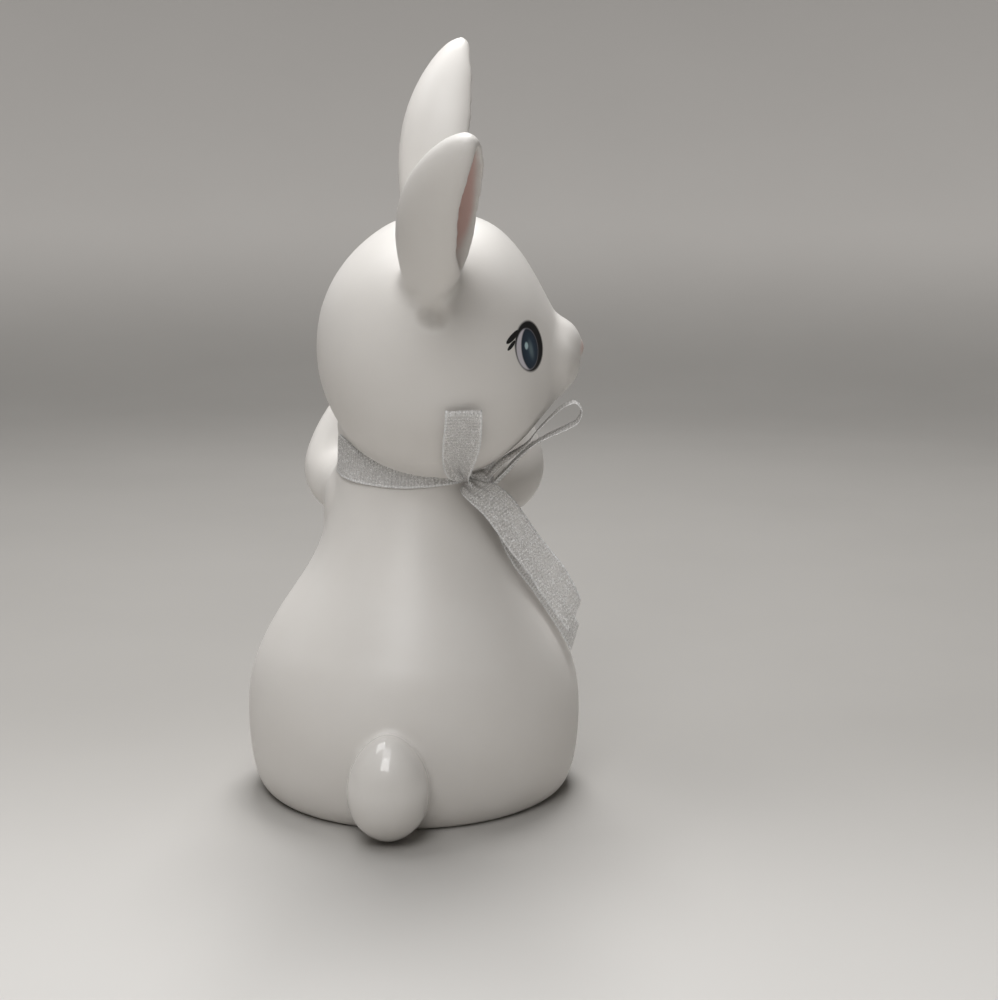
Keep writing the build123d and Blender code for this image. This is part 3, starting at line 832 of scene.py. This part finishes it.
# %% [markdown]
# ## Organza ribbon
#
# Organza is a plain weave of fine, highly twisted filament: crisp, sheer and sparkling, since
# each thread shows the light at its own angle. It has a thicker selvedge on both edges. A
# cloth solver would need the bow to be tied, so each length of ribbon is swept instead along
# the line that it takes. Its rows are given as the camera sees them, in millimetres to the
# right, towards the camera and up from the figure's foot. The weave is drawn in the cloth's
# own coordinates, so it closes up where the ribbon is gathered.

# %% Organza
RIBBON_WIDE, CLOTH_THICK = 10.0, 0.12      # in millimetres
THREAD_STEP = 0.30       # real threads lie closer, too fine to show at this distance


def painted_sparkle_cells(tree, cloth):
    """Chance of each crossing of two threads, and its painted sparkle: how much whiter it is
    painted.
    """
    cell = add(tree, "ShaderNodeVectorMath", {0: cloth, 1: (THREAD_STEP, THREAD_STEP * 0.8, 1.0)},
               operation="DIVIDE")
    cell = add(tree, "ShaderNodeVectorMath", {0: cell.outputs[0]}, operation="FLOOR")
    chance = add(tree, "ShaderNodeTexWhiteNoise", {0: cell.outputs[0]}, noise_dimensions="2D")
    painted_sparkle = add(tree, "ShaderNodeMapRange",
                {0: chance.outputs[0], 1: 0.40, 2: 1.0, 3: 0.0, 4: 1.0})
    painted_sparkle = add(tree, "ShaderNodeMath", {0: painted_sparkle.outputs[0], 1: 1.6}, operation="POWER")
    lustre = add(tree, "ShaderNodeTexNoise", {"Vector": cloth, "Scale": 0.5, "Detail": 2.0})
    lustre = add(tree, "ShaderNodeMapRange",
                 {0: lustre.outputs[0], 1: 0.3, 2: 0.65, 3: 0.5, 4: 1.0})
    painted_sparkle = add(tree, "ShaderNodeMath", {0: painted_sparkle.outputs[0], 1: lustre.outputs[0]},
                operation="MULTIPLY")
    return chance.outputs[1], painted_sparkle.outputs[0]


def organza():
    """Sheer sparkling weave in the cloth's own coordinates, in millimetres."""
    material, tree, shader = new_finish("organza_polyester_white")
    cloth = add(tree, "ShaderNodeUVMap", uv_map="cloth").outputs[0]
    split = add(tree, "ShaderNodeSeparateXYZ", {0: cloth})
    chance, painted_sparkle = painted_sparkle_cells(tree, cloth)
    # ribs: every third thread lies closer to the next and shows as a line across the ribbon
    turns = add(tree, "ShaderNodeMath", {0: split.outputs[0], 1: 2 * math.pi / (3 * THREAD_STEP)},
                operation="MULTIPLY")
    ribs = add(tree, "ShaderNodeMath", {0: turns.outputs[0]}, operation="SINE").outputs[0]
    edge = add(tree, "ShaderNodeMath", {0: split.outputs[1]}, operation="ABSOLUTE").outputs[0]
    selvedge = add(tree, "ShaderNodeMapRange",
                   {0: edge, 1: RIBBON_WIDE / 2 - 0.60, 2: RIBBON_WIDE / 2 - 0.35,
                    3: 0.0, 4: 1.0}).outputs[0]
    # painted highlight: crossings with the painted sparkle are painted whiter, as if they caught
    # the light
    colour = add(tree, "ShaderNodeMix", {0: painted_sparkle, 6: linear("#efedeb"), 7: linear("#ffffff")},
                 data_type="RGBA").outputs[2]
    colour = add(tree, "ShaderNodeMix", {0: selvedge, 6: colour, 7: linear("#ffffff")},
                 data_type="RGBA").outputs[2]
    tree.links.new(colour, shader.inputs["Base Color"])
    # sheer between the threads, and closer where the painted sparkle lies, in the ribs and in the
    # selvedge
    cover = add(tree, "ShaderNodeMapRange",
                {0: ribs, 1: -1.0, 2: 1.0, 3: 0.44, 4: 0.58}).outputs[0]
    for mask, more in ((painted_sparkle, 0.50), (selvedge, 0.25)):
        closer = add(tree, "ShaderNodeMath", {0: mask, 1: more}, operation="MULTIPLY").outputs[0]
        cover = add(tree, "ShaderNodeMath", {0: cover, 1: closer}, operation="ADD").outputs[0]
    tree.links.new(cover, shader.inputs["Alpha"])
    # a thread's round back turns the light its own way in every cell
    tilt = add(tree, "ShaderNodeVectorMath", {0: chance, 1: (0.5, 0.5, 0.5)},
               operation="SUBTRACT")
    facing = add(tree, "ShaderNodeNewGeometry").outputs["Normal"]
    facing = add(tree, "ShaderNodeVectorMath", {0: facing, 1: tilt.outputs[0]}, operation="ADD")
    facing = add(tree, "ShaderNodeVectorMath", {0: facing.outputs[0]}, operation="NORMALIZE")
    tree.links.new(facing.outputs[0], shader.inputs["Normal"])
    shader.inputs["Roughness"].default_value = 0.30
    shader.inputs["IOR"].default_value = 1.58          # polyester
    return material


organza_white = organza()
print("finish:", organza_white.name)


# %% Smooth line through rows
def seen(right, towards, up):
    """Point in millimetres, given as the camera sees it from the figure's foot."""
    return np.array(aside) * right + np.array(back) * towards + np.array((0, 0, up))


def smooth_rows(rows, count):
    """Rows of numbers joined by a smooth curve and read again at even steps."""
    rows = np.array(rows, float)
    padded = np.vstack([2 * rows[0] - rows[1], rows, 2 * rows[-1] - rows[-2]])
    places = np.linspace(0, len(rows) - 1, count)
    out = []
    for place in places:
        i = min(int(place), len(rows) - 2)
        t = place - i
        a, b, c, d = padded[i:i + 4]
        out.append(0.5 * (2 * b + (c - a) * t + (2 * a - 5 * b + 4 * c - d) * t ** 2
                          + (3 * b - a - 3 * c + d) * t ** 3))
    return np.array(out)


print("the camera sees", seen(0, 1, 0).round(3), "as towards itself")


# %% Thin cloth through a grid
def cloth_piece(name, grid, across):
    """Thin closed sheet through a grid of points in millimetres: rows along, columns across."""
    rows, columns = grid.shape[:2]
    mesh = bpy.data.meshes.new(name)
    faces = []
    for i in range(rows - 1):
        for j in range(columns - 1):
            a = i * columns + j
            faces.append((a, a + 1, a + columns + 1, a + columns))
    mesh.from_pydata((grid.reshape(-1, 3) * MM).tolist(), [], faces)
    middle = grid[:, columns // 2]
    along = np.concatenate([[0], np.cumsum(np.linalg.norm(np.diff(middle, axis=0), axis=1))])
    layer = mesh.uv_layers.new(name="cloth")
    for loop in mesh.loops:
        row, column = divmod(loop.vertex_index, columns)
        layer.data[loop.index].uv = (along[row], across[column])
    mesh.shade_smooth()
    flat = bpy.data.objects.new(name + "_flat", mesh)
    scene.collection.objects.link(flat)
    thick = flat.modifiers.new("cloth_thickness", "SOLIDIFY")
    thick.thickness, thick.offset = CLOTH_THICK * MM, 0
    evaluated = flat.evaluated_get(bpy.context.evaluated_depsgraph_get())
    done = bpy.data.meshes.new_from_object(evaluated)
    bpy.data.objects.remove(flat)
    done.name = name
    done.materials.append(organza_white)
    piece = bpy.data.objects.new(name, done)
    scene.collection.objects.link(piece)
    print(name, "is", round(float(along[-1]), 1), "mm long")
    return piece, float(along[-1])


# %% Ribbon swept through its rows
PLEATS, PLEAT_MM, FLUTTER_MM = 3.0, 0.9, 0.12


def swept_ribbon(name, rows, count, columns=15):
    """Ribbon through rows of middle, width vector and curl, all as the camera sees them."""
    rows = smooth_rows(rows, count)
    middle = np.array([seen(*row[0:3]) for row in rows])
    wide = np.array([seen(*row[3:6]) for row in rows])
    ahead = np.gradient(middle, axis=0)
    facing = np.cross(ahead, wide)
    facing /= np.linalg.norm(facing, axis=1)[:, None]
    shares = np.linspace(-0.5, 0.5, columns)
    width = np.linalg.norm(wide, axis=1)
    drawn = np.clip(1 - width / RIBBON_WIDE, 0, 1)
    grid = np.empty((count, columns, 3))
    for j, share in enumerate(shares):
        bulge = rows[:, 6] * (1 - 4 * share ** 2)
        ripple = PLEAT_MM * drawn * np.sin(2 * math.pi * PLEATS * share + 0.6)
        flutter = FLUTTER_MM * np.sin(np.arange(count) / count * 17 + 5 * share)
        grid[:, j] = middle + wide * share + facing * (bulge + ripple + flutter)[:, None]
    return cloth_piece(name, grid, shares * RIBBON_WIDE)


def hand_in_cloth(piece, node):
    """Attaches a finished length of ribbon to the figure's root and hides its CAD node."""
    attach(piece, "root")
    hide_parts(node)


print("the ribbon is", RIBBON_WIDE, "mm wide and", CLOTH_THICK, "mm thick")

# %% [markdown]
# ### Band round the neck
#
# The band lies on the neck in the crease under the head. Where the crease leaves less room
# than its width, the cloth folds back under itself. The room is measured with rays that come
# in from all round, so that the band follows the real neck and stops under the real head.

# %% Room for the neck band
BAND_MIDDLE, BAND_TILT = np.array((0, -8.0, 92.8)), math.radians(9)
band_up = np.array((0, math.sin(BAND_TILT), math.cos(BAND_TILT)))
band_heights = np.linspace(0, RIBBON_WIDE, 41)
NECK_RADIUS, LEAST_FREE = 22, 3.2


def band_out(turn):
    """Direction out of the neck, in the plane that the band lies in."""
    level = math.sin(turn)
    return np.array((math.cos(turn), level * math.cos(BAND_TILT), -level * math.sin(BAND_TILT)))


def reach_of(casting, middle, out):
    """How far a casting reaches from a point in a direction, in millimetres, or nothing."""
    far = 60
    hit = trees[casting].ray_cast(Vector(middle + out * far) * MM, Vector(-out), far * MM)
    return far - hit[3] / MM if hit[0] is not None else None


def neck_line(turn):
    """Distance of the neck's skin from its middle up the band's width, and how much is free."""
    out = band_out(turn)
    radii, free = [], 0
    for height in band_heights:
        middle = BAND_MIDDLE + band_up * (height - RIBBON_WIDE / 2)
        neck, head = reach_of("body", middle, out), reach_of("head", middle, out)
        if neck is None or (head is not None and head > neck - 0.2):
            break
        radii.append(neck)
        free = height
    radii += [radii[-1] if radii else NECK_RADIUS] * (len(band_heights) - len(radii))
    return radii, free


def round_average(values, reach):
    """Values round a ring, each averaged with its neighbours."""
    kernel = range(-reach, reach + 1)
    return sum(np.roll(values, k, axis=0) for k in kernel) / len(kernel)


turns = np.linspace(0, 2 * math.pi, 160, endpoint=False)
lines = [neck_line(turn) for turn in turns]
radii = round_average(np.array([line[0] for line in lines]), 2)
free = round_average(np.array([line[1] for line in lines]), 3)
free = np.clip(free, LEAST_FREE, RIBBON_WIDE)
print("free height for the band:", round(free.min(), 1), "to", round(free.max(), 1), "mm",
      "on a neck of radius", radii.min().round(1), "to", radii.max().round(1))

# %% Neck band
BAND_LIFT, FOLDED_LIFT, BAND_FLUTTER = 0.55, 0.25, 0.10       # in millimetres off the neck
DRAWN_IN_MM, DRAWN_IN_REACH = 1.5, 0.4        # into the pressed neck; reach in radians
across = np.linspace(-0.5, 0.5, 29) * RIBBON_WIDE
grid = np.empty((len(turns) + 1, len(across), 3))
for i in range(len(turns) + 1):
    k = i % len(turns)
    out = band_out(turns[k])
    for j in range(len(across)):
        cloth = across[j] + RIBBON_WIDE / 2
        room = free[k]
        height = room - abs(cloth % (2 * room) - room)
        folded = min(max((cloth - room) / 1.2 + 0.5, 0), 1)
        lift = BAND_LIFT + (FOLDED_LIFT - BAND_LIFT) * folded
        lift += BAND_FLUTTER * math.sin(9 * turns[k] + 0.8 * cloth)
        from_left = math.remainder(turns[k], 2 * math.pi)
        lift -= DRAWN_IN_MM * math.exp(-(from_left / DRAWN_IN_REACH) ** 2)
        radius = np.interp(height, band_heights, radii[k]) + lift
        grid[i, j] = BAND_MIDDLE + band_up * (height - RIBBON_WIDE / 2) + out * radius
band, length = cloth_piece("organza_neck_band", grid, across)
hand_in_cloth(band, "ribbon_neck_band")

# %% [markdown]
# ### Bow
#
# The bow has a knot, two loops and two cut ends. One loop stands against the back of the head
# and shows its face. The other points at the chin and is seen on its edge. Near the knot each
# length is gathered into pleats.

# %% Knot
low, high = (np.array(corner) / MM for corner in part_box("ribbon_knot"))
knot_middle = (low + high) / 2
KNOT_ROUND = math.radians(52)          # from the back of the neck towards the right shoulder
knot_out = np.array((-math.sin(KNOT_ROUND), math.cos(KNOT_ROUND), 0))
knot_along = np.array((-math.cos(KNOT_ROUND), -math.sin(KNOT_ROUND), 0))
KNOT_RADIUS_MM, KNOT_WIDE_MM, KNOT_PLEAT_MM = 2.6, 8.6, 0.22
KNOT_TAPER, KNOT_TUCK_MM = 3.4, 2.2    # its ends are drawn small and tucked under the loops
wraps = np.radians(np.linspace(-125, 125, 48))
shares = np.linspace(-0.5, 0.5, 21)
grid = np.empty((len(wraps), len(shares), 3))
for i, turn in enumerate(wraps):
    ray = knot_out * math.cos(turn) + np.array((0, 0, 1)) * math.sin(turn)
    for j, share in enumerate(shares):
        pleat = KNOT_PLEAT_MM * math.sin(2 * math.pi * 4 * share + 0.8 * turn)
        radius = KNOT_RADIUS_MM * (1 - KNOT_TAPER * share ** 2) + pleat * (1 - 4 * share ** 2)
        grid[i, j] = (knot_middle + ray * radius + knot_along * KNOT_WIDE_MM * share
                      - knot_out * KNOT_TUCK_MM * (2 * share) ** 2)
knot, length = cloth_piece("organza_knot", grid, shares * RIBBON_WIDE)
hand_in_cloth(knot, "ribbon_knot")

# %% Loops
# Each row: middle (right, towards, up), width vector (right, towards, up) and curl
UPRIGHT_LOOP = (
    (17.2, 11.4, 84.9, 3.2, 0.0, -1.6, 0.5),
    (14.4, 14.2, 85.4, 4.2, 0.0, -1.6, 1.2),
    (12.9, 17.6, 87.2, 5.4, 0.0, -0.8, 1.6),
    (13.1, 24.0, 91.0, 7.8, 0.0, 0.0, 1.2),
    (14.0, 30.5, 96.8, 9.5, 0.0, 0.0, 0.6),
    (14.6, 34.6, 103.0, 9.3, 0.0, 0.0, 0.2),
    (14.7, 35.6, 105.9, 9.1, 0.0, 0.0, 0.0),
    (14.7, 34.2, 106.4, 9.1, 0.0, 0.0, 0.0),
    (14.6, 32.2, 103.6, 9.0, 0.0, 0.0, 0.2),
    (14.2, 28.0, 97.4, 8.6, 0.0, 0.0, 0.4),
    (13.6, 21.5, 91.6, 6.2, 0.0, 0.4, 0.6),
    (15.0, 14.0, 87.2, 3.0, 0.0, 0.8, 0.4),
    (17.6, 11.0, 86.2, 2.8, 0.0, 0.8, 0.4),
)
SIDE_LOOP = (
    (20.0, 11.0, 85.8, 2.2, -2.6, 3.0, 0.4),
    (24.4, 11.4, 90.6, 1.8, -5.0, 2.0, 0.4),
    (30.2, 11.6, 94.9, 0.4, -8.6, 0.2, 0.2),
    (33.5, 11.6, 98.9, 0.3, -9.6, -0.3, 0.0),
    (37.4, 11.6, 102.8, 0.3, -9.8, -0.3, 0.0),
    (40.4, 11.6, 105.3, 0.3, -9.8, -0.3, 0.0),
    (43.2, 11.6, 106.3, 0.3, -9.8, -0.2, 0.0),
    (44.8, 11.6, 104.2, 0.2, -9.7, 0.0, 0.0),
    (43.8, 11.6, 101.4, 0.3, -9.7, 0.1, 0.0),
    (41.2, 11.6, 99.8, 0.3, -9.7, 0.2, 0.0),
    (37.2, 11.6, 97.9, 0.3, -9.7, 0.2, 0.0),
    (33.3, 11.6, 95.8, 0.3, -9.6, 0.0, 0.0),
    (30.0, 11.5, 93.4, 0.6, -8.4, 0.6, 0.2),
    (26.4, 11.2, 89.6, 1.8, -5.4, 1.8, 0.4),
    (21.8, 10.8, 84.8, 2.2, -2.6, 2.8, 0.4),
)
for name, rows, node in (("organza_loop_upright", UPRIGHT_LOOP, "ribbon_loop_upright"),
                         ("organza_loop_side", SIDE_LOOP, "ribbon_loop_side")):
    piece, length = swept_ribbon(name, rows, count=180)
    hand_in_cloth(piece, node)

# %% Cut ends
FRONT_END = (
    (14.6, 12.6, 84.8, 2.8, -1.0, 2.6, 0.2),
    (16.6, 13.6, 84.0, 5.4, -1.6, 3.6, 0.5),
    (19.7, 14.0, 82.2, 6.7, -3.2, 4.4, 0.6),
    (23.8, 13.4, 78.3, 6.9, -4.6, 4.5, 0.6),
    (30.0, 11.6, 69.2, 7.1, -5.2, 4.1, 0.5),
    (34.2, 10.6, 63.6, 7.1, -5.2, 4.0, 0.5),
    (37.8, 9.8, 58.3, 6.9, -5.0, 5.1, 0.5),
    (41.6, 9.0, 51.9, 6.6, -5.4, 3.6, 0.4),
    (43.4, 8.4, 48.4, 3.3, -5.0, 7.0, 0.3),
)
BACK_END = (
    (18.6, 9.5, 84.2, 1.4, -1.6, 2.4, 0.3),
    (22.9, 8.4, 77.6, 2.6, -5.0, 3.0, 0.5),
    (25.5, 6.2, 70.8, 3.2, -7.4, 2.8, 0.5),
    (29.6, 4.4, 63.2, 3.6, -8.4, 3.0, 0.4),
    (34.8, 3.2, 56.1, 3.8, -8.4, 3.2, 0.4),
    (39.8, 2.6, 48.8, 3.8, -8.2, 3.6, 0.4),
    (43.8, 2.2, 41.4, 2.4, -7.4, 5.4, 0.3),
)
for name, rows, node in (("organza_end_front", FRONT_END, "ribbon_tail_front"),
                         ("organza_end_back", BACK_END, "ribbon_tail_back")):
    piece, length = swept_ribbon(name, rows, count=130)
    hand_in_cloth(piece, node)
